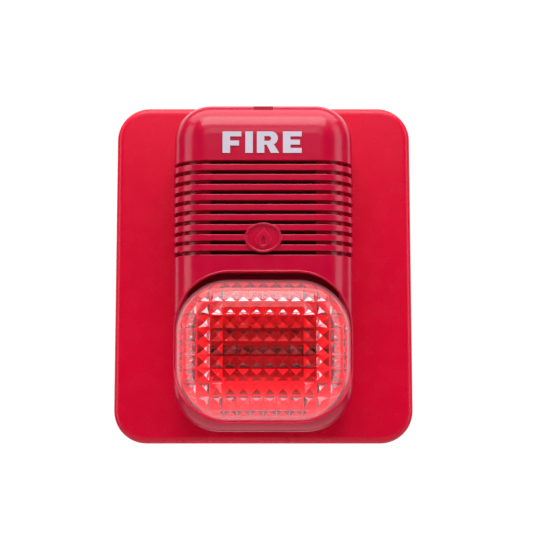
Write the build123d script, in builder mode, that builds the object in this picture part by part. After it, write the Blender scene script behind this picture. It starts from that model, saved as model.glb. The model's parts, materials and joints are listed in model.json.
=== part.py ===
from build123d import *
import os

# Wall-mounted horn strobe. Millimetres, +Z up, the front faces -Y, and the wall plane is Y = 0.
# The origin is the middle of the mounting plate's back face. A "depth" is a distance out from the
# wall, so a plane at depth d is Plane.XZ.offset(d) and stands at Y = -d.

# Mounting plate
PLATE_W = 125.0
PLATE_TOP = 70.6
PLATE_LOW = -71.9
PLATE_DEPTH = 9.0
PLATE_CORNER = 13.8
PLATE_EDGE_R = 3.0
PLATE_SKIN = 2.5
PLATE_RIM = 2.8
RIB_W = 1.8
RIB_DEPTH = PLATE_DEPTH - 1.0
SCREW_SPACING = 60.0
SCREW_PAD = 16.0
SLOT_W = 4.4
SLOT_LENGTH = 9.0
ENTRY_W = 36.0
ENTRY_H = 26.0

# Head: its outline seen from the front, its depth range and its walls
GAP = 0.3
HEAD_W = 72.6
HEAD_TOP = 66.1
HEAD_LOW = -66.5
HEAD_CORNER_TOP = 15.0
HEAD_CORNER_LOW = 19.0
HEAD_BACK = PLATE_DEPTH + GAP
HEAD_FRONT = 42.0
SHOULDER_R = 14.0
WALL = 2.4

# Louvres: grooves round the front and the shoulders, open slots on the flat front
GROOVE_COUNT = 10
GROOVE_TOP_Z = 40.3
GROOVE_PITCH = 4.04
GROOVE_W = 1.7
GROOVE_DEPTH = 3.0
GROOVE_BACK = 24.0
CORE_WALL = 1.6
FIN_PROUD = 0.3
SLOT_HALF_W = 21.0
LOUVRE_MARGIN = 2.4

# Badge on the louvres
BADGE_W = 14.8
BADGE_H = 11.8
BADGE_Z = 9.9
BADGE_PROUD = 0.4
BADGE_RIM_W = 0.8
BADGE_RELIEF = 0.5

# Flame on the badge, from its tip to its foot and back, and the hollow in its middle
FLAME_RIGHT = [(0.4, 4.3), (1.3, 2.3), (2.9, 0.2), (3.0, -1.9), (1.6, -3.6), (0, -4.1)]
FLAME_LEFT = [(0, -4.1), (-1.7, -3.6), (-3.0, -1.9), (-2.6, 0.3), (-1.0, 2.0), (0.4, 4.3)]
CORE_RIGHT = [(0.1, 0.6), (1.2, -1.4), (0.9, -2.7), (0, -3.1)]
CORE_LEFT = [(0, -3.1), (-0.9, -2.7), (-1.1, -1.4), (0.1, 0.6)]

# Lens, its opening, gasket and shelf
LENS_W = 69.6
LENS_TOP = -6.1
LENS_LOW = -62.3
LENS_CORNER = 21.0
LENS_FRONT = 50.0
LENS_EDGE_R = 13.8
LENS_WALL = 2.2
LENS_FIT = 0.3
BEZEL_TOP = -3.4
BEZEL_LOW = -62.9
BEZEL_W = 70.8
BEZEL_CORNER = 22.5
BEZEL_FLOOR = 36.5
SHELF_BACK = 23.2
SHELF_FRONT = 25.0
GASKET_FRONT = 26.0
FLANGE_FRONT = 29.0
LENS_WALL_TOP = -1.2

# Hinge at the lower edge
HINGE_DEPTH = 12.0
HINGE_Z = -64.4
HINGE_X = 11.0
HINGE_PIN_R = 1.0
HINGE_FIT = 0.08
HOOK_W = 6.0
NOTCH_W = 7.0

# Release latch under the hood
LATCH_DEPTH = 13.0
LATCH_Z = 55.5
LATCH_PIN_R = 1.0
LATCH_FIT = 0.05
LATCH_HUB_R = 2.6
LATCH_W = 8.0
LATCH_TIP = 35.5
LATCH_ARM = 1.6
HOOK_DEPTH = 24.3
HOOK_TOP = LATCH_Z + 2.4
LEDGE_TOP = 49.5
SPRING_DEPTH = 20.0
SPRING_R = 2.2
SPRING_WIRE = 0.6

# Pocket in the top of the hood, with a hole through its floor to the latch
POCKET_W = 7.8
POCKET_BACK = 31.0
POCKET_FRONT = 37.0
POCKET_FLOOR = 61.4
TOOL_HOLE_W = 6.0
TOOL_HOLE_TALL = 5.0
PAD_W = 12.4
PAD_LOW = 60.5
CATCH_Z = 60.6
CATCH_DEPTH = 23.2

# Rear cover, circuit board and the posts that hold them
COVER_BACK = 17.8
COVER_FRONT = 19.3
BOARD_BACK = 20.8
BOARD_FRONT = 22.4
POST_X = 27.0
POST_TOP_Z = 51.0
POST_LOW_Z = -49.0
POST_R = 3.2
POST_LENGTH = 7.5
SCREW_R = 1.3
SCREW_HOLE_R = 1.35
SCREW_END = 24.6

# Sounder
SOUNDER_Z = 22.0
CUP_R = 21.0
CUP_WALL = 1.8
DISC_R = 18.6

# Selector switch with four levers
SWITCH_Z = -25.0
SWITCH_W = 11.8
SWITCH_H = 9.6
SWITCH_BACK = 15.8
LEVER_COUNT = 4
LEVER_PITCH = 2.54
LEVER_TRAVEL = 1.4
LEVER_W = 1.1
LEVER_H = 1.6

# Terminals
TERMINAL_COUNT = 4
TERMINAL_PITCH = 8.0
TERMINAL_Z = 25.0
TERMINAL_W = 36.0
TERMINAL_H = 12.0
TERMINAL_FRONT = 16.2
STUD_Z = 35.6

# Lamp: the reflector tray with a well in it, and the tube across the well
LAMP_Z = (LENS_TOP + LENS_LOW) / 2
WELL_W = 43.0
WELL_H = 21.0
TRAY_W = 63.2
TRAY_H = 49.8
TRAY_CORNER = 17.5
TRAY_LIP = 1.0
TRAY_FRONT = 36.0
TRAY_FLOOR = 30.0
TRAY_BACK = 26.2
TUBE_R = 2.1
TUBE_LENGTH = 33.0
TUBE_DEPTH = 31.5

# Front and back of the sounder cup, and its disc
CUP_FRONT = HEAD_FRONT - GROOVE_DEPTH - CORE_WALL - 0.5
CUP_BACK = 25.2
DISC_DEPTH = 30.0
CERAMIC_R = 12.5

# Circuit board outline
BOARD_W = 64.0
BOARD_TOP = 59.0
BOARD_LOW = -58.0
BOARD_NOTCH_W = 18.0

groove_heights = [GROOVE_TOP_Z - i * GROOVE_PITCH for i in range(GROOVE_COUNT)]
terminal_places = [(i - (TERMINAL_COUNT - 1) / 2) * TERMINAL_PITCH for i in range(TERMINAL_COUNT)]
lever_places = [(i - (LEVER_COUNT - 1) / 2) * LEVER_PITCH for i in range(LEVER_COUNT)]
post_places = [(x, z) for x in (-POST_X, POST_X) for z in (POST_LOW_Z, POST_TOP_Z)]
rib_spans = [
    (SCREW_PAD / 2 - 0.5, PLATE_TOP - PLATE_RIM + 1.0),
    (PLATE_LOW + PLATE_RIM - 1.0, -SCREW_PAD / 2 + 0.5),
]
lens_screw_places = [(x, z) for x in (-11.0, 11.0) for z in (LENS_TOP - 4.1, LENS_LOW + 4.1)]

os.makedirs("parts", exist_ok=True)


def save(builder, name):
    """Label a finished piece and write it as its own STEP file."""
    builder.part.label = name
    export_step(builder.part, f"parts/{name}.step")


def rounded(depth, width, low, high, corner_low, corner_high):
    """A face at a depth: a rectangle from low to high with its own lower and upper corner radii."""
    half = width / 2
    corner = 2 ** -0.5
    with BuildSketch(Plane.XZ.offset(depth)) as outline:
        with BuildLine():
            Line((-half, low + corner_low), (-half, high - corner_high))
            ThreePointArc(
                (-half, high - corner_high),
                (-half + corner_high * (1 - corner), high - corner_high * (1 - corner)),
                (-half + corner_high, high),
            )
            Line((-half + corner_high, high), (half - corner_high, high))
            ThreePointArc(
                (half - corner_high, high),
                (half - corner_high * (1 - corner), high - corner_high * (1 - corner)),
                (half, high - corner_high),
            )
            Line((half, high - corner_high), (half, low + corner_low))
            ThreePointArc(
                (half, low + corner_low),
                (half - corner_low * (1 - corner), low + corner_low * (1 - corner)),
                (half - corner_low, low),
            )
            Line((half - corner_low, low), (-half + corner_low, low))
            ThreePointArc(
                (-half + corner_low, low),
                (-half + corner_low * (1 - corner), low + corner_low * (1 - corner)),
                (-half, low + corner_low),
            )
        make_face()
    return outline.sketch


def plate_outline(inset=0.0):
    """The plate's outline on the wall, moved inwards by inset."""
    corner = PLATE_CORNER - inset
    return rounded(0, PLATE_W - 2 * inset, PLATE_LOW + inset, PLATE_TOP - inset, corner, corner)


def head_outline(depth, inset=0.0):
    """The head's outline from the front, moved inwards by inset."""
    return rounded(
        depth,
        HEAD_W - 2 * inset,
        HEAD_LOW + inset,
        HEAD_TOP - inset,
        HEAD_CORNER_LOW - inset,
        HEAD_CORNER_TOP - inset,
    )


def lens_outline(depth, inset=0.0):
    """The lens's outline from the front, moved inwards by inset."""
    return rounded(
        depth,
        LENS_W - 2 * inset,
        LENS_LOW + inset,
        LENS_TOP - inset,
        LENS_CORNER - inset,
        LENS_CORNER - inset,
    )


def louvre_section(height, inset, back):
    """The head's horizontal section at a height, moved inwards by inset and closed at a back depth."""
    half = HEAD_W / 2 - inset
    front = HEAD_FRONT - inset
    radius = SHOULDER_R - inset
    with BuildSketch(Plane.XY.offset(height)) as section:
        with BuildLine():
            Polyline(
                (-half, -front + radius),
                (-half, -back),
                (half, -back),
                (half, -front + radius),
            )
            RadiusArc((half, -front + radius), (half - radius, -front), radius)
            Line((half - radius, -front), (-half + radius, -front))
            RadiusArc((-half + radius, -front), (-half, -front + radius), radius)
        make_face()
    return section.sketch


# Faces used by the shells below
outer_face = head_outline(HEAD_BACK)
cavity_face = head_outline(HEAD_BACK - 1, WALL)
lens_face = lens_outline(GASKET_FRONT)
lens_cavity_face = lens_outline(GASKET_FRONT - 1, LENS_WALL)

louvre_low = groove_heights[-1] - LOUVRE_MARGIN
louvre_high = groove_heights[0] + LOUVRE_MARGIN
core_outer_face = louvre_section(louvre_low, GROOVE_DEPTH, GROOVE_BACK - 1.4)
core_inner_face = louvre_section(louvre_low, GROOVE_DEPTH + CORE_WALL, GROOVE_BACK - 1.4)
fin_face = louvre_section(groove_heights[-1], -FIN_PROUD, GROOVE_BACK)
fin_hollow_face = louvre_section(groove_heights[-1], GROOVE_DEPTH, GROOVE_BACK)

# ---------------------------------------------------------------- mounting plate
with BuildPart() as plate_hollow:
    extrude(plate_outline(PLATE_RIM), amount=PLATE_DEPTH - PLATE_SKIN)

with BuildPart() as mounting_plate:
    extrude(plate_outline(), amount=PLATE_DEPTH)
    fillet(mounting_plate.edges().group_by(Axis.Y)[0], radius=PLATE_EDGE_R)
    add(plate_hollow.part, mode=Mode.SUBTRACT)
    # Pads that carry the wall screws down to the wall
    with BuildSketch(Plane.XZ):
        with Locations((-SCREW_SPACING / 2, 0), (SCREW_SPACING / 2, 0)):
            Rectangle(SCREW_PAD, SCREW_PAD)
    extrude(amount=RIB_DEPTH)
    # Stiffening ribs from the pads to the rim, above and below
    with BuildSketch(Plane.XZ):
        for low, high in rib_spans:
            with Locations(
                (-SCREW_SPACING / 2, (low + high) / 2),
                (SCREW_SPACING / 2, (low + high) / 2),
            ):
                Rectangle(RIB_W, high - low)
    extrude(amount=RIB_DEPTH)
    # Slots for the wall screws
    with BuildSketch(Plane.XZ):
        with Locations((-SCREW_SPACING / 2, 0), (SCREW_SPACING / 2, 0)):
            SlotOverall(SLOT_LENGTH, SLOT_W)
    extrude(amount=PLATE_DEPTH, mode=Mode.SUBTRACT)
    # Cable entry over the wall box
    with BuildSketch(Plane.XZ):
        RectangleRounded(ENTRY_W, ENTRY_H, 4)
    extrude(amount=PLATE_DEPTH, mode=Mode.SUBTRACT)
    # Small drain and pry notch in the lower rim
    with Locations((0, 0, PLATE_LOW)):
        Box(5, 5, 2, mode=Mode.SUBTRACT)
    # Hooks that carry the head's hinge pins, open at the top
    for side in (-1, 1):
        with BuildSketch(Plane.YZ.offset(side * HINGE_X)):
            with BuildLine():
                Polyline(
                    (-PLATE_DEPTH + 0.5, HINGE_Z - 2.1),
                    (-HINGE_DEPTH - 0.8, HINGE_Z - 2.1),
                    (-HINGE_DEPTH - 2.1, HINGE_Z - 0.8),
                    (-HINGE_DEPTH - 2.1, HINGE_Z + 0.8),
                    (-PLATE_DEPTH + 0.5, HINGE_Z + 0.8),
                    close=True,
                )
            make_face()
        extrude(amount=HOOK_W / 2, both=True)
        with Locations((side * HINGE_X, -HINGE_DEPTH, HINGE_Z)):
            Cylinder(HINGE_PIN_R + HINGE_FIT, HOOK_W + 2, rotation=(0, 90, 0), mode=Mode.SUBTRACT)
        with Locations((side * HINGE_X, -HINGE_DEPTH, HINGE_Z + 1)):
            Box(HOOK_W + 2, 2 * (HINGE_PIN_R + HINGE_FIT), 2, mode=Mode.SUBTRACT)
    # Ears for the latch pin, and the ledge under the latch spring
    for side in (-1, 1):
        with Locations((side * (LATCH_W / 2 + 1.3), -(PLATE_DEPTH + 3.4), LATCH_Z)):
            Box(2, 7.6, 6.4)
    with Locations((0, -(PLATE_DEPTH + 7), LEDGE_TOP - 0.9)):
        Box(LATCH_W, 15, 1.8)
    with Locations((0, -LATCH_DEPTH, LATCH_Z)):
        Cylinder(LATCH_PIN_R, LATCH_W + 6, rotation=(0, 90, 0), mode=Mode.SUBTRACT)
save(mounting_plate, "mounting_plate")

# ---------------------------------------------------------------- latch, pin and spring
with BuildPart() as release_latch:
    with Locations((0, -LATCH_DEPTH, LATCH_Z)):
        Cylinder(LATCH_HUB_R, LATCH_W, rotation=(0, 90, 0))
    with BuildSketch(Plane.YZ):
        with BuildLine():
            Polyline(
                (-LATCH_DEPTH, LATCH_Z - LATCH_ARM / 2),
                (-LATCH_DEPTH, LATCH_Z + LATCH_ARM / 2),
                (-HOOK_DEPTH, LATCH_Z + LATCH_ARM / 2),
                (-HOOK_DEPTH, HOOK_TOP),
                (-HOOK_DEPTH - 0.7, HOOK_TOP),
                (-HOOK_DEPTH - 2.5, LATCH_Z + LATCH_ARM / 2),
                (-LATCH_TIP, LATCH_Z + LATCH_ARM / 2),
                (-LATCH_TIP, LATCH_Z - LATCH_ARM / 2),
                close=True,
            )
        make_face()
    extrude(amount=LATCH_W / 2, both=True)
    with Locations((0, -LATCH_DEPTH, LATCH_Z)):
        Cylinder(LATCH_PIN_R + LATCH_FIT, LATCH_W + 1, rotation=(0, 90, 0), mode=Mode.SUBTRACT)
save(release_latch, "release_latch")

with BuildPart() as latch_pin:
    with Locations((0, -LATCH_DEPTH, LATCH_Z)):
        Cylinder(LATCH_PIN_R, LATCH_W + 4.6, rotation=(0, 90, 0))
save(latch_pin, "latch_pin")

with BuildPart() as latch_spring:
    spring_height = LATCH_Z - LATCH_ARM / 2 - LEDGE_TOP - 0.1
    with Locations((0, -SPRING_DEPTH, LEDGE_TOP + spring_height / 2)):
        Cylinder(SPRING_R, spring_height)
        Cylinder(SPRING_R - SPRING_WIRE, spring_height + 1, mode=Mode.SUBTRACT)
save(latch_spring, "latch_spring")

# ---------------------------------------------------------------- terminals on the plate
with BuildPart() as terminal_block:
    with Locations((0, -(PLATE_DEPTH + TERMINAL_FRONT) / 2, TERMINAL_Z)):
        Box(TERMINAL_W, TERMINAL_FRONT - PLATE_DEPTH, TERMINAL_H)
    # Ledge behind the contacts
    with Locations((0, -(PLATE_DEPTH + 1.25), TERMINAL_Z + TERMINAL_H / 2 + 3.5)):
        Box(TERMINAL_W, 2.5, 7)
    for x in terminal_places:
        # Clamp chamber, screw well and wire entry
        with Locations((x, -13.0, TERMINAL_Z)):
            Box(5.4, 4.6, TERMINAL_H - 3, mode=Mode.SUBTRACT)
        with Locations((x, -15.5, TERMINAL_Z)):
            Cylinder(2.3, 4, rotation=(90, 0, 0), mode=Mode.SUBTRACT)
        with Locations((x, -12.4, TERMINAL_Z - TERMINAL_H / 2)):
            Box(3.4, 3.0, 5, mode=Mode.SUBTRACT)
        with Locations((x, -12.9, TERMINAL_Z + TERMINAL_H / 2)):
            Box(3.2, 0.6, 5, mode=Mode.SUBTRACT)
save(terminal_block, "terminal_block")

with BuildPart() as terminal_clamps:
    for x in terminal_places:
        with Locations((x, -13.0, TERMINAL_Z)):
            Box(5.0, 4.2, 5.0)
            Box(3.6, 2.6, 6.0, mode=Mode.SUBTRACT)
        with Locations((x, -14.5, TERMINAL_Z)):
            Cylinder(1.3, 3, rotation=(90, 0, 0), mode=Mode.SUBTRACT)
save(terminal_clamps, "terminal_clamps")

with BuildPart() as terminal_screws:
    for x in terminal_places:
        with Locations((x, -15.75, TERMINAL_Z)):
            Cylinder(2.0, 1.1, rotation=(90, 0, 0))
        with Locations((x, -14.2, TERMINAL_Z)):
            Cylinder(1.25, 2.2, rotation=(90, 0, 0))
        with Locations((x, -16.3, TERMINAL_Z)):
            Box(3.4, 0.8, 0.6, mode=Mode.SUBTRACT)
save(terminal_screws, "terminal_screws")

with BuildPart() as base_contacts:
    for x in terminal_places:
        with BuildSketch(Plane.YZ.offset(x)):
            with BuildLine():
                Polyline(
                    (-12.9, TERMINAL_Z + TERMINAL_H / 2 - 2.0),
                    (-12.9, TERMINAL_Z + TERMINAL_H / 2 + 1.0),
                    (-17.0, STUD_Z - 0.2),
                    (-15.4, STUD_Z + 2.6),
                )
            trace(line_width=0.4)
        extrude(amount=1.4, both=True)
save(base_contacts, "base_contacts")

# ---------------------------------------------------------------- horn housing
with BuildPart() as head_cavity:
    extrude(cavity_face, amount=HEAD_FRONT - WALL - (HEAD_BACK - 1))
    fillet(head_cavity.edges().group_by(Axis.Y)[0], radius=SHOULDER_R - WALL)

with BuildPart() as louvre_core:
    extrude(core_outer_face, amount=louvre_high - louvre_low)
    extrude(core_inner_face, amount=louvre_high - louvre_low, mode=Mode.SUBTRACT)

with BuildPart() as fin_band:
    extrude(fin_face, amount=groove_heights[0] - groove_heights[-1])
    extrude(fin_hollow_face, amount=groove_heights[0] - groove_heights[-1], mode=Mode.SUBTRACT)

with BuildPart() as groove_tools:
    for z in groove_heights:
        with Locations((0, -(GROOVE_BACK + HEAD_FRONT) / 2 - 2, z)):
            Box(HEAD_W + 8, HEAD_FRONT - GROOVE_BACK + 4, GROOVE_W)
    with BuildSketch(Plane.XY.offset(louvre_low)):
        add(louvre_section(0, GROOVE_DEPTH, GROOVE_BACK - 4))
    extrude(amount=louvre_high - louvre_low, mode=Mode.SUBTRACT)

with BuildPart() as head_block:
    extrude(outer_face, amount=HEAD_FRONT - HEAD_BACK)
    fillet(head_block.edges().group_by(Axis.Y)[0], radius=SHOULDER_R)

with BuildPart() as lens_shelf:
    add(head_block.part)
    with Locations((0, -(SHELF_BACK + SHELF_FRONT) / 2, LENS_WALL_TOP - HEAD_W / 2)):
        Box(HEAD_W, SHELF_FRONT - SHELF_BACK, HEAD_W, mode=Mode.INTERSECT)

with BuildPart() as lens_wall:
    add(head_block.part)
    with Locations((0, -(SHELF_BACK + HEAD_FRONT) / 2, LENS_WALL_TOP - WALL / 2)):
        Box(HEAD_W, HEAD_FRONT - SHELF_BACK, WALL, mode=Mode.INTERSECT)

with BuildPart() as hood_pad:
    add(head_block.part)
    with Locations((0, -(CATCH_DEPTH + POCKET_FRONT + 2) / 2, PAD_LOW + 2)):
        Box(PAD_W, POCKET_FRONT + 2 - CATCH_DEPTH, 4, mode=Mode.INTERSECT)

bezel_face = rounded(BEZEL_FLOOR, BEZEL_W, BEZEL_LOW, BEZEL_TOP, BEZEL_CORNER, BEZEL_CORNER)

with BuildPart() as horn_housing:
    add(head_block.part)
    add(head_cavity.part, mode=Mode.SUBTRACT)
    add(louvre_core.part)
    add(fin_band.part)
    add(groove_tools.part, mode=Mode.SUBTRACT)
    # Open sound slots through the core on the flat front
    for z in groove_heights:
        with Locations((0, -(HEAD_FRONT - GROOVE_DEPTH - CORE_WALL / 2), z)):
            Box(2 * SLOT_HALF_W, CORE_WALL + 2, GROOVE_W, mode=Mode.SUBTRACT)
    # Oval badge that stands on the lower fins, with a raised rim and a flame in relief
    with BuildSketch(Plane.XZ.offset(HEAD_FRONT - GROOVE_DEPTH - CORE_WALL)):
        with Locations((0, BADGE_Z)):
            Ellipse(BADGE_W / 2, BADGE_H / 2)
    extrude(amount=GROOVE_DEPTH + CORE_WALL + BADGE_PROUD)
    with BuildSketch(Plane.XZ.offset(HEAD_FRONT + BADGE_PROUD)):
        with Locations((0, BADGE_Z)):
            Ellipse(BADGE_W / 2, BADGE_H / 2)
            Ellipse(BADGE_W / 2 - BADGE_RIM_W, BADGE_H / 2 - BADGE_RIM_W, mode=Mode.SUBTRACT)
    extrude(amount=BADGE_RELIEF)
    with BuildSketch(Plane.XZ.offset(HEAD_FRONT + BADGE_PROUD)):
        for right_side, left_side, mode in (
            (FLAME_RIGHT, FLAME_LEFT, Mode.ADD),
            (CORE_RIGHT, CORE_LEFT, Mode.SUBTRACT),
        ):
            with BuildLine():
                Spline([(x, BADGE_Z + z) for x, z in right_side])
                Spline([(x, BADGE_Z + z) for x, z in left_side])
            make_face(mode=mode)
    extrude(amount=BADGE_RELIEF)
    # Shelf round the lens opening, and the wall above the lens
    add(lens_shelf.part)
    add(lens_wall.part)
    # Opening that the lens fits into, with a wider mouth above it
    extrude(lens_outline(SHELF_FRONT, -LENS_FIT), amount=HEAD_FRONT, mode=Mode.SUBTRACT)
    extrude(bezel_face, amount=HEAD_FRONT, mode=Mode.SUBTRACT)
    extrude(lens_outline(SHELF_BACK - 1, 9.5), amount=4, mode=Mode.SUBTRACT)
    # Posts for the rear cover screws
    for x, z in post_places:
        with Locations((x, -(BOARD_FRONT + SHELF_FRONT) / 2, z)):
            Cylinder(POST_R, SHELF_FRONT - BOARD_FRONT, rotation=(90, 0, 0))
    for x in (-POST_X, POST_X):
        with Locations((x, -(BOARD_FRONT + POST_LENGTH / 2), POST_TOP_Z)):
            Cylinder(POST_R, POST_LENGTH, rotation=(90, 0, 0))
        with Locations((x * 1.16, -(BOARD_FRONT + POST_LENGTH / 2), POST_TOP_Z)):
            Box(8.4, POST_LENGTH, 1.6)
    for x, z in post_places:
        with Locations((x, -(BOARD_FRONT + 1.6), z)):
            Cylinder(SCREW_HOLE_R, 3.4, rotation=(90, 0, 0), mode=Mode.SUBTRACT)
    for x, z in lens_screw_places:
        with Locations((x, -(SHELF_BACK + SHELF_FRONT) / 2, z)):
            Cylinder(1.15, 4, rotation=(90, 0, 0), mode=Mode.SUBTRACT)
    # Release pocket in the top of the hood, in a pad with the catch behind it
    add(hood_pad.part)
    with Locations((0, -CATCH_DEPTH, CATCH_Z)):
        Box(PAD_W, 1.6, 4)
    with Locations((0, -(POCKET_BACK + POCKET_FRONT) / 2, POCKET_FLOOR + 5)):
        Box(POCKET_W, POCKET_FRONT - POCKET_BACK, 10, mode=Mode.SUBTRACT)
    with Locations((0, -(POCKET_BACK + POCKET_FRONT) / 2, PAD_LOW)):
        Box(TOOL_HOLE_W, TOOL_HOLE_TALL, 4, mode=Mode.SUBTRACT)
    # Hinge notches in the lower wall, each crossed by a pin between two cheeks
    for side in (-1, 1):
        for edge in (-1, 1):
            with Locations((side * HINGE_X + edge * (NOTCH_W / 2 + 0.7), -12.4, HINGE_Z)):
                Box(1.4, 4.8, 3.6)
        with Locations((side * HINGE_X, -(HEAD_BACK + 2.6), HINGE_Z)):
            Box(NOTCH_W, 15, 5, mode=Mode.SUBTRACT)
        with Locations((side * HINGE_X, -HINGE_DEPTH, HINGE_Z)):
            Cylinder(HINGE_PIN_R, NOTCH_W + 1, rotation=(0, 90, 0))
    # Bevel on the lower back edge, so that the head can swing without touching the plate
    with BuildSketch(Plane.YZ):
        with BuildLine():
            Polyline(
                (-HEAD_BACK + 1, HEAD_LOW + 1.8),
                (-HEAD_BACK, HEAD_LOW + 1.8),
                (-HEAD_BACK - 0.8, HEAD_LOW - 0.2),
                (-HEAD_BACK + 1, HEAD_LOW - 0.2),
                close=True,
            )
        make_face()
    extrude(amount=HEAD_W / 2, both=True, mode=Mode.SUBTRACT)
save(horn_housing, "horn_housing")

# ---------------------------------------------------------------- lens, gasket and lens screws
with BuildPart() as lens_cavity:
    extrude(lens_cavity_face, amount=LENS_FRONT - LENS_WALL - (GASKET_FRONT - 1))
    fillet(lens_cavity.edges().group_by(Axis.Y)[0], radius=LENS_EDGE_R - LENS_WALL)

with BuildPart() as lens:
    extrude(lens_face, amount=LENS_FRONT - GASKET_FRONT)
    fillet(lens.edges().group_by(Axis.Y)[0], radius=LENS_EDGE_R)
    add(lens_cavity.part, mode=Mode.SUBTRACT)
    # Flange that the screws pull down on the gasket
    extrude(lens_outline(GASKET_FRONT, 1.0), amount=FLANGE_FRONT - GASKET_FRONT)
    extrude(lens_outline(GASKET_FRONT, 6.0), amount=FLANGE_FRONT - GASKET_FRONT, mode=Mode.SUBTRACT)
    for x, z in lens_screw_places:
        with Locations((x, -GASKET_FRONT - 1.0, z)):
            Cylinder(1.05, 2.4, rotation=(90, 0, 0), mode=Mode.SUBTRACT)
save(lens, "lens")

with BuildPart() as lens_gasket:
    extrude(lens_outline(SHELF_FRONT, 0.5), amount=GASKET_FRONT - SHELF_FRONT)
    extrude(lens_outline(SHELF_FRONT, 6.0), amount=GASKET_FRONT - SHELF_FRONT, mode=Mode.SUBTRACT)
    for x, z in lens_screw_places:
        with Locations((x, -(SHELF_FRONT + GASKET_FRONT) / 2, z)):
            Cylinder(1.15, 2, rotation=(90, 0, 0), mode=Mode.SUBTRACT)
save(lens_gasket, "lens_gasket")

with BuildPart() as lens_screws:
    for x, z in lens_screw_places:
        with Locations((x, -SHELF_BACK + 0.35, z)):
            Cylinder(1.7, 0.7, rotation=(90, 0, 0))
        with Locations((x, -(SHELF_BACK + 2.3), z)):
            Cylinder(1.0, 4.6, rotation=(90, 0, 0))
save(lens_screws, "lens_screws")



# ---------------------------------------------------------------- lamp
def centred(depth, width, height, corner):
    """A rounded rectangle centred on the lamp."""
    return rounded(depth, width, LAMP_Z - height / 2, LAMP_Z + height / 2, corner, corner)


tray_floor = centred(TRAY_FLOOR, WELL_W + 0.4, WELL_H + 0.4, 2.5)
tray_mouth = centred(
    TRAY_FRONT + 0.01,
    TRAY_W - 2 * TRAY_LIP,
    TRAY_H - 2 * TRAY_LIP,
    TRAY_CORNER - TRAY_LIP,
)

with BuildPart() as reflector:
    extrude(lens_outline(SHELF_FRONT, 6.6), amount=1.2)
    loft([centred(TRAY_BACK - 0.4, WELL_W + 3, WELL_H + 3, 4).face(),
          centred(TRAY_FRONT, TRAY_W, TRAY_H, TRAY_CORNER).face()])
    loft([tray_floor.face(), tray_mouth.face()], mode=Mode.SUBTRACT)
    extrude(centred(TRAY_BACK, WELL_W - 1, WELL_H - 1, 2).face(), amount=8, mode=Mode.SUBTRACT)
    for side in (-1, 1):
        with Locations((side * (TUBE_LENGTH / 2 + 1), -TRAY_BACK + 0.6, LAMP_Z)):
            Cylinder(0.8, 4, rotation=(90, 0, 0), mode=Mode.SUBTRACT)
save(reflector, "reflector")

with BuildPart() as flash_tube:
    with Locations((0, -TUBE_DEPTH, LAMP_Z)):
        Cylinder(TUBE_R, TUBE_LENGTH, rotation=(0, 90, 0))
        Cylinder(TUBE_R - 0.5, TUBE_LENGTH + 1, rotation=(0, 90, 0), mode=Mode.SUBTRACT)
save(flash_tube, "flash_tube")

with BuildPart() as tube_electrodes:
    for side in (-1, 1):
        with Locations((side * (TUBE_LENGTH / 2 + 1), -TUBE_DEPTH, LAMP_Z)):
            Cylinder(TUBE_R + 0.4, 2, rotation=(0, 90, 0))
        with Locations((side * (TUBE_LENGTH / 2 - 1.5), -TUBE_DEPTH, LAMP_Z)):
            Cylinder(1.1, 5, rotation=(0, 90, 0))
        with Locations((side * (TUBE_LENGTH / 2 + 1), -(BOARD_FRONT + TUBE_DEPTH) / 2, LAMP_Z)):
            Cylinder(0.5, TUBE_DEPTH - BOARD_FRONT, rotation=(90, 0, 0))
save(tube_electrodes, "tube_electrodes")

# ---------------------------------------------------------------- sounder
with BuildPart() as acoustic_mesh:
    with Locations((0, -(HEAD_FRONT - GROOVE_DEPTH - CORE_WALL) + 0.25, SOUNDER_Z)):
        Box(2 * SLOT_HALF_W + 3, 0.4, 40.6)
save(acoustic_mesh, "acoustic_mesh")

with BuildPart() as sounder_cup:
    with Locations((0, -(CUP_BACK + CUP_FRONT) / 2, SOUNDER_Z)):
        Cylinder(CUP_R, CUP_FRONT - CUP_BACK, rotation=(90, 0, 0))
    with Locations((0, -(CUP_BACK + CUP_FRONT) / 2 - 1.4, SOUNDER_Z)):
        Cylinder(CUP_R - CUP_WALL - 1.6, CUP_FRONT - CUP_BACK, rotation=(90, 0, 0), mode=Mode.SUBTRACT)
    with Locations((0, -(DISC_DEPTH + CUP_FRONT + 1) / 2, SOUNDER_Z)):
        Cylinder(CUP_R - CUP_WALL, CUP_FRONT + 1 - DISC_DEPTH, rotation=(90, 0, 0), mode=Mode.SUBTRACT)
    with Locations((0, -CUP_BACK, SOUNDER_Z)):
        Cylinder(2.5, 6, rotation=(90, 0, 0), mode=Mode.SUBTRACT)
save(sounder_cup, "sounder_cup")

with BuildPart() as piezo_plate:
    with Locations((0, -DISC_DEPTH - 0.2, SOUNDER_Z)):
        Cylinder(DISC_R, 0.4, rotation=(90, 0, 0))
save(piezo_plate, "piezo_plate")

with BuildPart() as piezo_ceramic:
    with Locations((0, -DISC_DEPTH - 0.6, SOUNDER_Z)):
        Cylinder(CERAMIC_R, 0.4, rotation=(90, 0, 0))
save(piezo_ceramic, "piezo_ceramic")

with BuildPart() as sounder_ring:
    with Locations((0, -DISC_DEPTH - 1.4, SOUNDER_Z)):
        Cylinder(CUP_R - CUP_WALL - 0.1, 2.0, rotation=(90, 0, 0))
        Cylinder(CUP_R - CUP_WALL - 2.6, 3.0, rotation=(90, 0, 0), mode=Mode.SUBTRACT)
save(sounder_ring, "sounder_ring")

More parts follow.
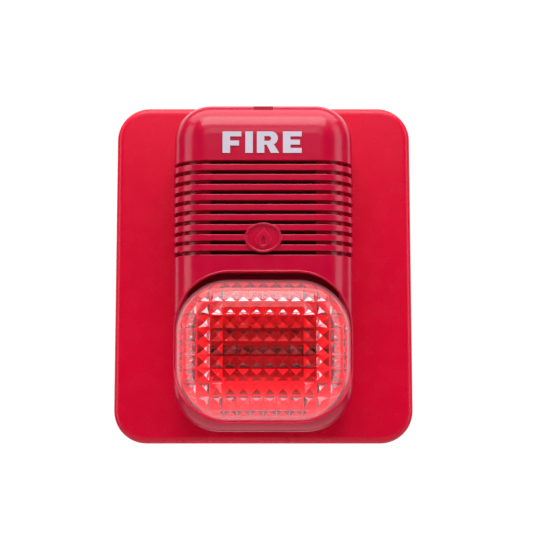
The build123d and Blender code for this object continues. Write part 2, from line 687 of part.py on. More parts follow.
# ---------------------------------------------------------------- circuit board
with BuildPart() as circuit_board:
    extrude(rounded(BOARD_BACK, BOARD_W, BOARD_LOW, BOARD_TOP, 12, 8), amount=BOARD_FRONT - BOARD_BACK)
    with Locations((0, -BOARD_BACK, BOARD_TOP)):
        Box(BOARD_NOTCH_W, 8, 27, mode=Mode.SUBTRACT)
    for x, z in post_places:
        with Locations((x, -BOARD_BACK, z)):
            Cylinder(1.6, 8, rotation=(90, 0, 0), mode=Mode.SUBTRACT)
save(circuit_board, "circuit_board")


def upright(x, z, radius, height):
    """A round component that stands on the front of the board."""
    with Locations((x, -(BOARD_FRONT + height / 2), z)):
        Cylinder(radius, height, rotation=(90, 0, 0))


def block(x, z, width, tall, height):
    """A box-shaped component on the front of the board."""
    with Locations((x, -(BOARD_FRONT + height / 2), z)):
        Box(width, height, tall)


with BuildPart() as flash_capacitor:
    with Locations((26.3, -(BOARD_FRONT + 4.8), 24)):
        Cylinder(4.6, 28)
        fillet(flash_capacitor.edges(), radius=0.8)
save(flash_capacitor, "flash_capacitor")

with BuildPart() as step_up_transformer:
    block(-26.2, 30, 8.6, 13, 9.3)
    block(-26.2, 30, 6.4, 16, 6)
save(step_up_transformer, "step_up_transformer")

with BuildPart() as choke:
    upright(-26.4, 12, 4.0, 1.2)
    upright(-26.4, 12, 3.0, 9.0)
    with Locations((-26.4, -(BOARD_FRONT + 8.6), 12)):
        Cylinder(4.0, 1.2, rotation=(90, 0, 0))
save(choke, "choke")

with BuildPart() as trigger_coil:
    upright(17.0, 53.5, 3.8, 9.0)
save(trigger_coil, "trigger_coil")

with BuildPart() as power_transistors:
    for z in (50.5, 57.0):
        block(-16.0, z, 6.4, 5.6, 2.4)
save(power_transistors, "power_transistors")

with BuildPart() as microcontroller:
    block(0, -24, 7.6, 5.4, 1.8)
save(microcontroller, "microcontroller")

with BuildPart() as rectifier_diodes:
    for x in (-14.0, -9.0, 9.0, 14.0):
        block(x, -40, 2.6, 4.6, 1.8)
save(rectifier_diodes, "rectifier_diodes")

with BuildPart() as contact_studs:
    for x in terminal_places:
        with Locations((x, -(BOARD_BACK + COVER_BACK - 0.3) / 2, STUD_Z)):
            Cylinder(1.7, BOARD_BACK - COVER_BACK + 0.3, rotation=(90, 0, 0))
save(contact_studs, "contact_studs")

# ---------------------------------------------------------------- selector switch and its levers
with BuildPart() as selector_switch:
    with Locations((0, -(SWITCH_BACK + BOARD_BACK) / 2, SWITCH_Z)):
        Box(SWITCH_W, BOARD_BACK - SWITCH_BACK, SWITCH_H)
    for x in lever_places:
        with Locations((x, -SWITCH_BACK, SWITCH_Z)):
            Box(LEVER_W + 0.6, 3.4, LEVER_H + LEVER_TRAVEL + 0.6, mode=Mode.SUBTRACT)
save(selector_switch, "selector_switch")

for index, x in enumerate(lever_places):
    with BuildPart() as lever:
        with Locations((x, -(SWITCH_BACK + 0.2), SWITCH_Z - LEVER_TRAVEL / 2)):
            Box(LEVER_W, 2.4, LEVER_H)
    save(lever, f"selector_lever_{index + 1}")

# ---------------------------------------------------------------- rear cover and its screws
with BuildPart() as rear_cover:
    extrude(head_outline(COVER_BACK, WALL + 0.2), amount=COVER_FRONT - COVER_BACK)
    with Locations((0, -COVER_BACK, BOARD_TOP + 2)):
        Box(BOARD_NOTCH_W, 8, 31, mode=Mode.SUBTRACT)
    for x, z in post_places:
        with Locations((x, -(COVER_BACK + BOARD_BACK) / 2, z)):
            Cylinder(POST_R, BOARD_BACK - COVER_BACK, rotation=(90, 0, 0))
    for x, z in post_places:
        with Locations((x, -COVER_BACK, z)):
            Cylinder(1.6, 12, rotation=(90, 0, 0), mode=Mode.SUBTRACT)
    with Locations((0, -COVER_BACK, SWITCH_Z)):
        Box(SWITCH_W + 0.8, 6, SWITCH_H + 0.8, mode=Mode.SUBTRACT)
    for x in terminal_places:
        with Locations((x, -COVER_BACK, STUD_Z)):
            Cylinder(1.8, 6, rotation=(90, 0, 0), mode=Mode.SUBTRACT)
    # Stiffening ribs
    for z in (4, -44):
        with Locations((0, -(COVER_FRONT + 0.5), z)):
            Box(58, 1.0, 1.2)
save(rear_cover, "rear_cover")

with BuildPart() as cover_screws:
    for x, z in post_places:
        with Locations((x, -COVER_BACK + 0.8, z)):
            Cylinder(2.5, 1.6, rotation=(90, 0, 0))
        with Locations((x, -(COVER_BACK + SCREW_END) / 2, z)):
            Cylinder(SCREW_R, SCREW_END - COVER_BACK, rotation=(90, 0, 0))
        with Locations((x, -COVER_BACK + 1.6, z)):
            Box(3.6, 1.2, 0.7, mode=Mode.SUBTRACT)
            Box(0.7, 1.2, 3.6, mode=Mode.SUBTRACT)
save(cover_screws, "cover_screws")
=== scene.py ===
import json
import math

import bmesh
import bpy
from mathutils import Matrix, Vector


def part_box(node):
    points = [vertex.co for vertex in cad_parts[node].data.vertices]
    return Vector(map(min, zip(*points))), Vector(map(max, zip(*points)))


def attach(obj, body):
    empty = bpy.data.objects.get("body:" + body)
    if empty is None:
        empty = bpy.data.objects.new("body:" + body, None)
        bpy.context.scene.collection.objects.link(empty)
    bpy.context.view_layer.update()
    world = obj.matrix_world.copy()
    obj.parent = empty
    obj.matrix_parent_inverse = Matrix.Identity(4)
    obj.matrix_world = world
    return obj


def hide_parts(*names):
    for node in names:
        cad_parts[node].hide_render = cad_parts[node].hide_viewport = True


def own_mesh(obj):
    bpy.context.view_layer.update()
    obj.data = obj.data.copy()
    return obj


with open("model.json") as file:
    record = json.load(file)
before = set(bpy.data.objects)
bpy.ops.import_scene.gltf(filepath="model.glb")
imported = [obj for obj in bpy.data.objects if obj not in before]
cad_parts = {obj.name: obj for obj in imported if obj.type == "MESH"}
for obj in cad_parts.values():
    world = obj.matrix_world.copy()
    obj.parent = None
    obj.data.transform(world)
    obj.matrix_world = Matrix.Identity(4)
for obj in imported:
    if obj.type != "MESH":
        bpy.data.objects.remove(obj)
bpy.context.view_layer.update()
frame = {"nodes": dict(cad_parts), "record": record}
nodes = frame["nodes"]
MM = 0.001


# ------------------------------------------------------------------ material helpers
# Most of a noise's values lie between these two
NOISE_LOW = 0.3
NOISE_HIGH = 0.7

# Noise scales, in cells per metre
FLOW = 18
GLOSS = 140
GRAIN = 2600
TARNISH = 260
DRAWN_GLOSS = 900
DRAWN_GRAIN = 2400

BEVEL_SAMPLES = 8


class Shader:
    """A node material with one Principled shader, and short ways to add nodes to it."""

    def __init__(self, name):
        self.material = bpy.data.materials.new(name)
        self.material.use_nodes = True
        self.tree = self.material.node_tree
        self.bsdf = self.tree.nodes["Principled BSDF"]
        self.coords = self.tree.nodes.new("ShaderNodeTexCoord").outputs["Object"]
        self.rounding = None

    def set(self, **values):
        """Plain numbers and colours on the shader's own sockets."""
        for key, value in values.items():
            self.bsdf.inputs[key.replace("_", " ")].default_value = value
        return self

    def link(self, source, target):
        self.tree.links.new(source, target)

    def along(self, axis):
        """One coordinate of the shaded point, in metres."""
        node = self.tree.nodes.new("ShaderNodeSeparateXYZ")
        self.link(self.coords, node.inputs["Vector"])
        return node.outputs[axis]

    def noise(self, scale, detail=2.0, stretch=(1, 1, 1)):
        """A noise value over the object, per metre, stretched along an axis."""
        mapping = self.tree.nodes.new("ShaderNodeMapping")
        mapping.inputs["Scale"].default_value = stretch
        self.link(self.coords, mapping.inputs["Vector"])
        texture = self.tree.nodes.new("ShaderNodeTexNoise")
        texture.inputs["Scale"].default_value = scale
        texture.inputs["Detail"].default_value = detail
        self.link(mapping.outputs["Vector"], texture.inputs["Vector"])
        return texture.outputs["Fac"]

    def spread(self, value, low, high, start=NOISE_LOW, end=NOISE_HIGH):
        """The value, mapped from start..end to low..high."""
        node = self.tree.nodes.new("ShaderNodeMapRange")
        node.inputs["From Min"].default_value = start
        node.inputs["From Max"].default_value = end
        node.inputs["To Min"].default_value = low
        node.inputs["To Max"].default_value = high
        self.link(value, node.inputs["Value"])
        return node.outputs["Result"]

    def colours(self, value, *stops):
        """A colour ramp over the value: (position, colour) pairs."""
        ramp = self.tree.nodes.new("ShaderNodeValToRGB")
        while len(ramp.color_ramp.elements) < len(stops):
            ramp.color_ramp.elements.new(0.5)
        for element, (position, colour) in zip(ramp.color_ramp.elements, stops):
            element.position = position
            element.color = (*colour, 1)
        self.link(value, ramp.inputs["Fac"])
        return ramp.outputs["Color"]

    def vary(self, noise, first, second):
        """A colour that drifts between two with a noise."""
        return self.colours(noise, (NOISE_LOW, first), (NOISE_HIGH, second))

    def soften(self, radius):
        """Rounds the shaded edges a little; bump nodes added later build on it."""
        node = self.tree.nodes.new("ShaderNodeBevel")
        node.samples = BEVEL_SAMPLES
        node.inputs["Radius"].default_value = radius
        self.rounding = node.outputs["Normal"]

    def bump(self, value, depth):
        """Surface relief of a height in metres."""
        node = self.tree.nodes.new("ShaderNodeBump")
        node.inputs["Distance"].default_value = depth
        node.inputs["Strength"].default_value = 1.0
        self.link(value, node.inputs["Height"])
        if self.rounding:
            self.link(self.rounding, node.inputs["Normal"])
        self.link(node.outputs["Normal"], self.bsdf.inputs["Normal"])

    def base(self, colour):
        self.link(colour, self.bsdf.inputs["Base Color"])

    def rough(self, value):
        self.link(value, self.bsdf.inputs["Roughness"])


def shade(colour, factor):
    return tuple(min(1.0, channel * factor) for channel in colour)


def moulded(name, colour, roughness, grain=GRAIN, relief=0.004 * MM, edge=0.0):
    """Moulded plastic: a fine grain, slight flow variation in its colour, uneven gloss and soft edges."""
    variation = 0.06
    shader = Shader(name)
    if edge:
        shader.soften(edge)
    shader.base(shader.vary(
        shader.noise(FLOW, 3), shade(colour, 1 - variation), shade(colour, 1 + variation)
    ))
    shader.rough(shader.spread(shader.noise(GLOSS, 4), roughness - 0.04, roughness + 0.05))
    shader.bump(shader.noise(grain, 2), relief)
    return shader


def metal(name, colour, roughness, stretch=(1, 1, 1)):
    """Metal with fine drawing marks and uneven tarnish."""
    tarnished = 0.86
    shader = Shader(name)
    shader.base(shader.vary(shader.noise(TARNISH, 3), shade(colour, tarnished), colour))
    shader.rough(shader.spread(shader.noise(DRAWN_GLOSS, 2, stretch), roughness - 0.06, roughness + 0.1))
    shader.bump(shader.noise(DRAWN_GRAIN, 2, stretch), 0.003 * MM)
    return shader.set(Metallic=1.0)


# ------------------------------------------------------------------ camera, stage and lights
def look_from(place, target):
    """The rotation of a camera or a light at place that faces target."""
    return (Vector(target) - Vector(place)).to_track_quat("-Z", "Y").to_euler()


def add_camera():
    """Camera about half a metre in front, a little below the middle and looking up slightly."""
    focal_length = 82.6
    sensor_width = 36.0
    distance = 0.525
    elevation = math.radians(-6.5)
    target = Vector((0.0013, 0.0, 0.0032))
    data = bpy.data.cameras.new("camera")
    data.lens = focal_length
    data.sensor_width = sensor_width
    camera = bpy.data.objects.new("camera", data)
    bpy.context.collection.objects.link(camera)
    camera.location = target + distance * Vector((0, -math.cos(elevation), math.sin(elevation)))
    camera.rotation_euler = look_from(camera.location, target)
    bpy.context.scene.camera = camera


def add_light(name, place, aim, width, height, power):
    data = bpy.data.lights.new(name, "AREA")
    data.shape = "RECTANGLE"
    data.size = width
    data.size_y = height
    data.energy = power
    light = bpy.data.objects.new(name, data)
    light.location = place
    light.rotation_euler = look_from(place, aim)
    bpy.context.collection.objects.link(light)


def add_lights():
    """Soft rectangular lights: name, place, aim, width and height in metres, power in watts."""
    middle = (0, -0.02, 0)
    add_light("top", (0, -0.5, 0.8), middle, 0.8, 0.5, 7.9)
    add_light("front", (0, -1.0, 0.48), middle, 0.55, 0.34, 1.3)
    add_light("fill", (0, -0.85, -0.38), middle, 0.9, 0.4, 0.3)
    add_light("left", (-0.75, -0.28, 0.12), middle, 0.35, 1.1, 3.0)
    add_light("right", (0.75, -0.28, 0.12), middle, 0.35, 1.1, 3.0)
    add_light("overhead", (0, -0.02, 0.7), middle, 1.2, 0.5, 5)
    add_light("back", (0, 0.9, 0.35), (0, 0, 0.35), 3.4, 1.5, 15)


def add_floor():
    """Pale floor well below the wall-held object."""
    side = 1.2
    near = -1.4
    far = 0.6
    level = -0.55
    mesh = bpy.data.meshes.new("floor")
    mesh.from_pydata(
        [(-side, near, level), (side, near, level), (side, far, level), (-side, far, level)],
        [],
        [(0, 1, 2, 3)],
    )
    floor = bpy.data.objects.new("floor", mesh)
    bpy.context.collection.objects.link(floor)
    shader = Shader("floor_paint")
    shader.base(shader.vary(shader.noise(3, 2), (0.78, 0.78, 0.78), (0.84, 0.84, 0.84)))
    shader.set(Roughness=0.8)
    mesh.materials.append(shader.material)


def add_surroundings():
    """White behind the object, and a faint even light from all round."""
    white = (1, 1, 1, 1)
    light_strength = 0.05
    backdrop_strength = 1.05
    world = bpy.data.worlds.new("studio")
    world.use_nodes = True
    bpy.context.scene.world = world
    tree = world.node_tree
    surround = tree.nodes["Background"]
    surround.inputs["Color"].default_value = white
    surround.inputs["Strength"].default_value = light_strength
    backdrop = tree.nodes.new("ShaderNodeBackground")
    backdrop.inputs["Color"].default_value = white
    backdrop.inputs["Strength"].default_value = backdrop_strength
    rays = tree.nodes.new("ShaderNodeLightPath")
    mix = tree.nodes.new("ShaderNodeMixShader")
    tree.links.new(rays.outputs["Is Camera Ray"], mix.inputs["Fac"])
    tree.links.new(surround.outputs["Background"], mix.inputs[1])
    tree.links.new(backdrop.outputs["Background"], mix.inputs[2])
    tree.links.new(mix.outputs["Shader"], tree.nodes["World Output"].inputs["Surface"])


# ------------------------------------------------------------------ mesh helpers
def new_piece(name, mesh, body, material, smooth=True):
    """A mesh piece that rides on a CAD body."""
    piece = bpy.data.objects.new(name, mesh)
    bpy.context.collection.objects.link(piece)
    mesh.materials.append(material)
    for polygon in mesh.polygons:
        polygon.use_smooth = smooth
    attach(piece, body)
    return piece


def curve_mesh(name, curve):
    """The surface of a curve, as a mesh."""
    source = bpy.data.objects.new(name + "_curve", curve)
    mesh = bpy.data.meshes.new_from_object(source)
    bpy.data.objects.remove(source)
    mesh.name = name
    return mesh


def wire_mesh(name, points, radius, closed):
    """A round wire through the points."""
    curve = bpy.data.curves.new(name, "CURVE")
    curve.dimensions = "3D"
    curve.bevel_depth = radius
    curve.bevel_resolution = 3
    curve.use_fill_caps = not closed
    spline = curve.splines.new("POLY")
    spline.points.add(len(points) - 1)
    for target, point in zip(spline.points, points):
        target.co = (*point, 1)
    spline.use_cyclic_u = closed
    return curve_mesh(name, curve)


def rounded_outline(half_w, bottom, top, radius, steps):
    """X and Z of points round a rounded rectangle centred on x = 0, with steps to each corner."""
    points = []
    for quarter in range(4):
        centre_x = half_w - radius if quarter in (0, 3) else radius - half_w
        centre_z = top - radius if quarter in (0, 1) else bottom + radius
        for step in range(steps + 1):
            angle = math.radians(90 * quarter + 90 * step / steps)
            points.append((centre_x + radius * math.cos(angle), centre_z + radius * math.sin(angle)))
    return points


# ------------------------------------------------------------------ lens
LENS_LOW, LENS_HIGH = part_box("lens")
LENS_FRONT = -LENS_LOW[1]
LENS_FOOT = -LENS_HIGH[1]
LENS_MIDDLE_Z = (LENS_HIGH[2] + LENS_LOW[2]) / 2
LENS_CORNER = 21.0 * MM
LENS_EDGE = 13.8 * MM
LENS_WALL = 2.2 * MM
FLANGE = 3.0 * MM
FLANGE_REACH = 6.0 * MM
FLANGE_TOP_Y = -(LENS_FOOT + FLANGE)
SMALLEST_CORNER = 0.2 * MM
INNER_FRONT = LENS_FRONT - LENS_WALL
INNER_EDGE = LENS_EDGE - LENS_WALL

PRISM_PITCH = 5.1 * MM
PRISM_DEPTH = 1.5 * MM
PRISM_BORDER = 0.11
PRISM_COLUMNS = 14
PRISM_ROWS = 11
PRISM_MARGIN = 0.8 * MM

CORNER_STEPS = 16
EDGE_STEPS = 18
SAME_POINT = 0.01 * MM
MERGE_DISTANCE = 0.02 * MM
SHARP_ANGLE = math.radians(24)


def lens_half(inset):
    """Half the lens's width and height, and its corner radius, moved inwards by inset."""
    half_w = (LENS_HIGH[0] - LENS_LOW[0]) / 2 - inset
    half_h = (LENS_HIGH[2] - LENS_LOW[2]) / 2 - inset
    return half_w, half_h, max(LENS_CORNER - inset, SMALLEST_CORNER)


def corner_offset(x, z, inset):
    """How far a point lies past the start of the nearest corner, across and up."""
    half_w, half_h, radius = lens_half(inset)
    return abs(x) - (half_w - radius), abs(z - LENS_MIDDLE_Z) - (half_h - radius)


def inside_distance(x, z, inset):
    """How far a point lies inside the lens's outline, moved inwards by inset."""
    radius = lens_half(inset)[2]
    across, up = corner_offset(x, z, inset)
    outside = math.hypot(max(across, 0), max(up, 0))
    return radius - outside - min(max(across, up), 0)


def onto_outline(x, z, inset):
    """The nearest point on the outline, moved inwards by inset."""
    half_w, half_h, radius = lens_half(inset)
    across, up = corner_offset(x, z, inset)
    sx = math.copysign(1, x)
    sz = math.copysign(1, z - LENS_MIDDLE_Z)
    if across > 0 and up > 0:
        reach = radius / math.hypot(across, up)
        return (
            sx * (half_w - radius + across * reach),
            LENS_MIDDLE_Z + sz * (half_h - radius + up * reach),
        )
    if across > up:
        return sx * half_w, z
    return x, LENS_MIDDLE_Z + sz * half_h


def inner_dome(x, z):
    """Y of the lens's domed inside, before the pyramids stand on it."""
    distance = inside_distance(x, z, LENS_WALL)
    run = min(max(distance, 0.0), INNER_EDGE)
    return -(INNER_FRONT - INNER_EDGE + math.sqrt(INNER_EDGE ** 2 - (INNER_EDGE - run) ** 2))


def ring(bm, inset, y):
    """Vertices round the lens's outline, moved inwards by inset."""
    half_w, half_h, radius = lens_half(inset)
    outline = rounded_outline(
        half_w, LENS_MIDDLE_Z - half_h, LENS_MIDDLE_Z + half_h, radius, CORNER_STEPS
    )
    return [bm.verts.new((x, y, z)) for x, z in outline]


def join(bm, first, second):
    """Faces between two rings."""
    count = len(first)
    for i in range(count):
        after = (i + 1) % count
        bm.faces.new((first[i], first[after], second[after], second[i]))


def add_lens_outside(bm):
    """The wall, the rounded edge and the flat front, then the foot and the flange."""
    rings = [ring(bm, 0.0, -LENS_FOOT)]
    for step in range(EDGE_STEPS + 1):
        turn = math.radians(90) * step / EDGE_STEPS
        inset = LENS_EDGE * (1 - math.cos(turn))
        rings.append(ring(bm, inset, -(LENS_FRONT - LENS_EDGE + LENS_EDGE * math.sin(turn))))
    for first, second in zip(rings, rings[1:]):
        join(bm, first, second)
    bm.faces.new(rings[-1])
    under = ring(bm, FLANGE_REACH, -LENS_FOOT)
    over = ring(bm, FLANGE_REACH, FLANGE_TOP_Y)
    join(bm, under, rings[0])
    join(bm, over, under)


def add_pyramid(bm, cell):
    """A pyramid on four vertices, inside a narrow flat border."""
    middle = sum((vert.co for vert in cell), Vector()) / 4
    across = (cell[2].co - cell[0].co).cross(cell[3].co - cell[1].co)
    size = math.sqrt(across.length / 2)
    inward = across.normalized() * math.copysign(1, across.y)
    apex = bm.verts.new(middle + inward * PRISM_DEPTH * min(1.0, size / PRISM_PITCH))
    base = [bm.verts.new(vert.co.lerp(middle, PRISM_BORDER)) for vert in cell]
    for step in range(4):
        after = (step + 1) % 4
        bm.faces.new((base[after], base[step], apex))
        if (cell[step].co - cell[after].co).length > SAME_POINT:
            bm.faces.new((cell[after], cell[step], base[step], base[after]))
        else:
            bm.faces.new((cell[step], base[step], base[after]))


def add_lens_prisms(bm):
    """Rows of pyramids all over the inside, with the outer cells pulled in to the wall."""
    corners = {}

    def corner(column, row):
        if (column, row) not in corners:
            x = (column - PRISM_COLUMNS / 2) * PRISM_PITCH
            z = LENS_MIDDLE_Z + (row - PRISM_ROWS / 2) * PRISM_PITCH
            inner = inside_distance(x, z, LENS_WALL) > PRISM_MARGIN
            if not inner:
                x, z = onto_outline(x, z, LENS_WALL + PRISM_MARGIN)
            corners[column, row] = (bm.verts.new((x, inner_dome(x, z), z)), inner)
        return corners[column, row]

    for column in range(PRISM_COLUMNS):
        for row in range(PRISM_ROWS):
            cell = [
                corner(column, row), corner(column + 1, row),
                corner(column + 1, row + 1), corner(column, row + 1),
            ]
            if any(inner for _, inner in cell):
                add_pyramid(bm, [vert for vert, _ in cell])
    used = [vert for vert, _ in corners.values() if vert.link_faces]
    bmesh.ops.remove_doubles(bm, verts=used, dist=MERGE_DISTANCE)
    for vert, _ in corners.values():
        if vert.is_valid and not vert.link_faces:
            bm.verts.remove(vert)


def add_lens_inner_wall(bm):
    """The wall straight back from the edge of the pyramids to the flange."""
    well_before_flange = FLANGE_TOP_Y - 1.0 * MM
    rim = [
        edge for edge in bm.edges
        if len(edge.link_faces) == 1 and edge.verts[0].co.y < well_before_flange
    ]
    wall = bmesh.ops.extrude_edge_only(bm, edges=rim)["geom"]
    for item in wall:
        if isinstance(item, bmesh.types.BMVert):
            item.co.x, item.co.z = onto_outline(item.co.x, item.co.z, LENS_WALL)
            item.co.y = -(INNER_FRONT - INNER_EDGE)
    bend = [
        item for item in wall
        if isinstance(item, bmesh.types.BMEdge) and len(item.link_faces) == 1
    ]
    for item in bmesh.ops.extrude_edge_only(bm, edges=bend)["geom"]:
        if isinstance(item, bmesh.types.BMVert):
            item.co.y = FLANGE_TOP_Y
    loose = [edge for edge in bm.edges if len(edge.link_faces) == 1]
    bmesh.ops.bridge_loops(bm, edges=loose)


def build_lens(material):
    """Clear lens: smooth outside, square pyramids all over the inside, and the flange at its foot."""
    mesh = bpy.data.meshes.new("prism_lens")
    bm = bmesh.new()
    add_lens_outside(bm)
    add_lens_prisms(bm)
    add_lens_inner_wall(bm)
    bmesh.ops.recalc_face_normals(bm, faces=bm.faces)
    for edge in bm.edges:
        if len(edge.link_faces) == 2 and edge.calc_face_angle(0) > SHARP_ANGLE:
            edge.smooth = False
    bm.to_mesh(mesh)
    bm.free()
    # 0 over the flat front, 1 at the outline
    edge_share = mesh.attributes.new("edge_share", "FLOAT", "POINT")
    for vertex, value in zip(mesh.vertices, edge_share.data):
        distance = inside_distance(vertex.co.x, vertex.co.z, 0.0)
        value.value = 1.0 - min(1.0, max(0.0, distance / LENS_EDGE))
    lens = new_piece("prism_lens", mesh, "head", material)
    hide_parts("lens")
    # Lamps light the inside through the clear lens
    lens.visible_shadow = False


# ------------------------------------------------------------------ lip of the lens opening
def build_lip(material):
    """Rounded lip that follows the edge of the opening over the head's flat front and its shoulders."""
    # The head's own dimensions
    front = 42.0 * MM
    shoulder = 14.0 * MM
    head_half = 36.3 * MM
    head_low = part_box("horn_housing")[0][2]
    # The opening
    half_w = 35.4 * MM
    top = -3.4 * MM
    bottom = -62.9 * MM
    corner = 22.5 * MM
    corner_steps = 24
    lip_radius = 0.5 * MM
    points = []
    for x, z in rounded_outline(half_w, bottom, top, corner, corner_steps):
        side = max(0.0, abs(x) - (head_half - shoulder))
        foot = max(0.0, (head_low + shoulder) - z)
        reach = min(math.hypot(side, foot), shoulder * 0.999)
        points.append((x, -(front - shoulder + math.sqrt(shoulder ** 2 - reach ** 2)), z))
    mesh = wire_mesh("opening_lip", points, lip_radius, closed=True)
    lip = new_piece("opening_lip", mesh, "head", material)


# ------------------------------------------------------------------ latch spring
def build_spring(material):
    """Coil spring under the latch, with closed ends."""
    low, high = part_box("latch_spring")
    wire = 0.3 * MM
    turns = 6
    steps_per_turn = 24
    closed_turns = 0.9
    closed_pitch = 2.1 * wire
    radius = (high[0] - low[0]) / 2 - wire
    centre_x = (high[0] + low[0]) / 2
    centre_y = (high[1] + low[1]) / 2
    base_z = low[2] + wire
    rise = high[2] - low[2] - 2 * wire
    steps = steps_per_turn * turns
    points = []
    for step in range(steps + 1):
        turned = turns * step / steps
        angle = 2 * math.pi * turned
        climb = min(1.0, max(0.0, (turned - closed_turns) / (turns - 2 * closed_turns)))
        ends = min(turned, closed_turns) + max(0.0, turned - turns + closed_turns)
        z = base_z + closed_pitch * ends + climb * (rise - 2 * closed_turns * closed_pitch)
        points.append((centre_x + radius * math.cos(angle), centre_y + radius * math.sin(angle), z))
    mesh = wire_mesh("latch_coil", points, wire, closed=False)
    coil = new_piece("latch_coil", mesh, "base", material)
    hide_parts("latch_spring")
    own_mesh(coil)


# ------------------------------------------------------------------ FIRE legend
def bowl(left, right, low, high):
    """A D shape, straight on the left and round on the right."""
    steps = 12
    radius = (high - low) / 2
    points = [(left, low), (right - radius, low)]
    for step in range(1, steps):
        angle = math.radians(-90 + 180 * step / steps)
        points.append((right - radius + radius * math.cos(angle), low + radius + radius * math.sin(angle)))
    return points + [(right - radius, high), (left, high)]


def build_legend(material):
    """The word FIRE in plain block letters, printed on the hood."""
    # Letter sizes, in millimetres
    height = 8.7
    middle = height / 2
    stem = 3.0
    bar = 2.0
    wide = 7.5
    f_arm = 6.6
    f_arm_low = 3.0
    e_arm = 6.8
    r_wide = 8.4
    r_low = 3.3
    r_wall = 2.7
    r_bottom_wall = 1.6
    r_top_wall = 1.9
    # Where each letter starts, and the foot of the word
    start = -16.25
    i_start = start + 9.1
    r_start = start + 13.7
    e_start = start + 24.1
    base_z = 44.0
    ink = 0.05 * MM
    # The hood's flat front stands behind the foremost point of the housing's box
    face_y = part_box("horn_housing")[0][1] + 0.7 * MM
    proud = 0.04 * MM

    curve = bpy.data.curves.new("legend", "CURVE")
    curve.dimensions = "2D"
    curve.fill_mode = "BOTH"
    curve.extrude = ink

    def outline(points, x):
        spline = curve.splines.new("POLY")
        spline.points.add(len(points) - 1)
        for target, (px, pz) in zip(spline.points, points):
            target.co = ((x + px) * MM, pz * MM, 0, 1)
        spline.use_cyclic_u = True

    letter_f = [
        (0, 0), (stem, 0), (stem, f_arm_low), (f_arm, f_arm_low), (f_arm, f_arm_low + bar),
        (stem, f_arm_low + bar), (stem, height - bar), (wide, height - bar), (wide, height), (0, height),
    ]
    letter_i = [(0, 0), (stem, 0), (stem, height), (0, height)]
    leg = [(0, 0), (stem, 0), (stem, r_low), (3.9, r_low), (5.6, 0), (8.9, 0), (6.7, r_low + 0.3)]
    letter_r = leg + bowl(stem, r_wide, r_low, height)[2:] + [(0, height)]
    counter = bowl(stem, r_wide - r_wall, r_low + r_bottom_wall, height - r_top_wall)
    letter_e = [
        (0, 0), (wide, 0), (wide, bar), (stem, bar), (stem, middle - bar / 2), (e_arm, middle - bar / 2),
        (e_arm, middle + bar / 2), (stem, middle + bar / 2), (stem, height - bar), (wide, height - bar),
        (wide, height), (0, height),
    ]
    outline(letter_f, start)
    outline(letter_i, i_start)
    outline(letter_r, r_start)
    outline(counter[::-1], r_start)
    outline(letter_e, e_start)
    mesh = curve_mesh("fire_legend", curve)
    upright = Matrix.Rotation(math.radians(90), 4, "X")
    mesh.transform(Matrix.Translation((0, face_y - proud, base_z * MM)) @ upright)
    new_piece("fire_legend", mesh, "head", material, smooth=False)


# ------------------------------------------------------------------ materials of the lens and the lamp
def lens_material():
    """Clear tinted plastic, paler and less clear towards the rounded edge as a painted reflection, with
    faint moulding haze.
    """
    middle_tint = (1.0, 0.34, 0.37)
    outer_tint = (1.0, 0.34, 0.39)
    # Painted reflection: the paler edge tint stands in for the bright surroundings reflected in the
    # rounded edge
    edge_reflection_tint = (1.0, 0.52, 0.58)
    shader = Shader("lens_clear")
    share = shader.tree.nodes.new("ShaderNodeAttribute")
    share.attribute_name = "edge_share"
    edge = share.outputs["Fac"]
    shader.base(shader.colours(edge, (0.15, middle_tint), (0.7, outer_tint), (1.0, edge_reflection_tint)))
    # Less clear towards the edge, so lamps light it pale: also part of the painted reflection
    shader.link(shader.spread(edge, 1.0, 0.86, 0.1, 1.0), shader.bsdf.inputs["Transmission Weight"])
    shader.rough(shader.spread(shader.noise(90, 3), 0.05, 0.09))
    shader.bump(shader.noise(60, 2), 0.01 * MM)
    return shader.set(IOR=1.5, Specular_IOR_Level=0.3).material


def quartz_material():
    """Quartz tube, darkened with use towards its ends."""
    dark = (0.12, 0.01, 0.04)
    clear = (0.5, 0.07, 0.2)
    low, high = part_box("flash_tube")
    shader = Shader("quartz")
    along = shader.spread(shader.along("X"), 0.0, 1.0, low[0], high[0])
    shader.base(shader.colours(along, (0.0, dark), (0.18, clear), (0.82, clear), (1.0, dark)))
    shader.rough(shader.spread(shader.noise(220, 3), 0.05, 0.14))
    shader.bump(shader.noise(300, 2), 0.004 * MM)
    return shader.set(Transmission_Weight=1.0, IOR=1.46)


def tray_material():
    """Red tray whose well is painted darker than its floor, as painted shade in the recess."""
    well_y = -30.0 * MM
    floor_y = -31.6 * MM
    # Painted shade: the deep well is coloured darker than the floor
    well_shade_red = (0.5, 0.0, 0.012)
    shader = Shader("tray_red")
    depth = shader.spread(shader.along("Y"), 0.0, 1.0, well_y, floor_y)
    floor_red = shader.vary(shader.noise(40, 3), (0.86, 0.012, 0.03), (0.95, 0.02, 0.04))
    mix = shader.tree.nodes.new("ShaderNodeMix")
    mix.data_type = "RGBA"
    shader.link(depth, mix.inputs["Factor"])
    mix.inputs["A"].default_value = (*well_shade_red, 1)
    shader.link(floor_red, mix.inputs["B"])
    shader.base(mix.outputs["Result"])
    shader.rough(shader.spread(shader.noise(GLOSS, 4), 0.3, 0.4))
    shader.bump(shader.noise(GRAIN, 2), 0.003 * MM)
    return shader.set(Specular_IOR_Level=0.15)


# ------------------------------------------------------------------ materials of the CAD nodes
PLATE_RED = (0.68, 0.0012, 0.030)
HOUSING_RED = (0.53, 0.0012, 0.033)
INK_WHITE = (0.62, 0.56, 0.66)


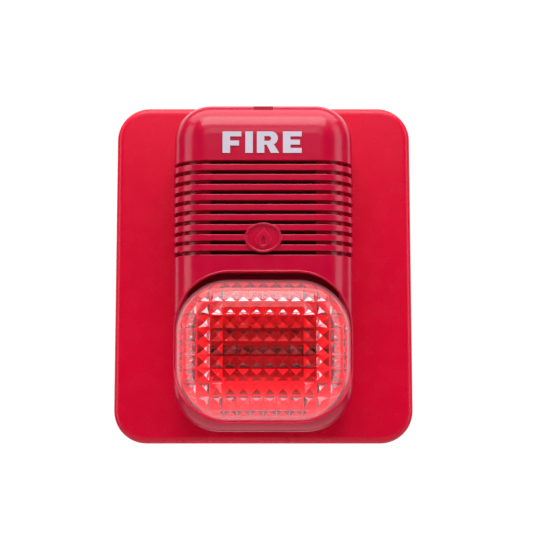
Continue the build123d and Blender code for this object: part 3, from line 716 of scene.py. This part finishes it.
def paint_nodes():
    """Gives every CAD node the material of its slot. Returns the housing's and the spring's materials."""
    plate = moulded("plate_red", PLATE_RED, 0.26, edge=0.3 * MM).set(Specular_IOR_Level=0.25)
    housing = moulded("housing_red", HOUSING_RED, 0.22, edge=0.45 * MM).set(Specular_IOR_Level=0.35)
    black = moulded("black_plastic", (0.012, 0.012, 0.013), 0.5)
    white = moulded("white_plastic", (0.72, 0.70, 0.66), 0.45)
    green = moulded("green_plastic", (0.02, 0.16, 0.05), 0.45)
    blue = moulded("blue_plastic", (0.015, 0.07, 0.36), 0.4)
    steel = metal("zinc_steel", (0.62, 0.62, 0.64), 0.3)
    brass = metal("plated_brass", (0.78, 0.58, 0.26), 0.28)
    copper = metal("enamelled_copper", (0.62, 0.22, 0.08), 0.3, (1, 1, 6))
    nickel = metal("electrode_nickel", (0.2, 0.12, 0.14), 0.45)
    silvered = metal("silvered_ceramic", (0.74, 0.73, 0.71), 0.45)
    rubber = moulded("gasket_rubber", (0.014, 0.013, 0.013), 0.72)
    epoxy = moulded("chip_epoxy", (0.016, 0.016, 0.018), 0.42)
    ferrite = moulded("ferrite", (0.034, 0.032, 0.033), 0.6, grain=1400, relief=0.01 * MM)
    sleeve = moulded("capacitor_sleeve", (0.010, 0.014, 0.050), 0.24)
    board = moulded("solder_mask", (0.008, 0.10, 0.034), 0.3, grain=900, relief=0.008 * MM)
    acetal = moulded("acetal", (0.76, 0.74, 0.70), 0.3, edge=0.2 * MM)
    cover = moulded("cover_plastic", (0.70, 0.68, 0.63), 0.5, grain=1500, relief=0.012 * MM, edge=0.3 * MM)
    mesh_cloth = moulded("dark_mesh", (0.10, 0.002, 0.008), 0.6)
    by_slot = {
        "plate_red": plate, "housing_red": housing, "reflector_red": tray_material(),
        "gasket_black": rubber, "mesh_black": mesh_cloth, "cup_black": black, "chip_black": epoxy,
        "ferrite_black": ferrite, "capacitor_sleeve": sleeve, "cover_white": cover, "latch_white": acetal,
        "lever_white": white, "terminal_green": green, "board_green": board, "switch_blue": blue,
        "screw_steel": steel, "electrode_metal": nickel, "spring_steel": steel, "piezo_brass": brass,
        "contact_brass": brass, "coil_copper": copper, "ceramic_white": silvered,
        "tube_glass": quartz_material(),
        "lens_clear": Shader("lens_plain").set(Transmission_Weight=1.0, Roughness=0.02, IOR=1.58),
    }
    for entry in frame["record"]["subparts"]:
        mesh = nodes[entry["node"]].data
        mesh.materials.clear()
        mesh.materials.append(by_slot[entry["material_slot"]].material)
    return housing.material, steel.material


housing_paint, spring_steel = paint_nodes()
add_camera()
add_floor()
add_surroundings()
add_lights()
build_lens(lens_material())
build_lip(housing_paint)
build_spring(spring_steel)
build_legend(moulded("legend_ink", INK_WHITE, 0.5).material)
bpy.context.scene.view_settings.view_transform = "Standard"
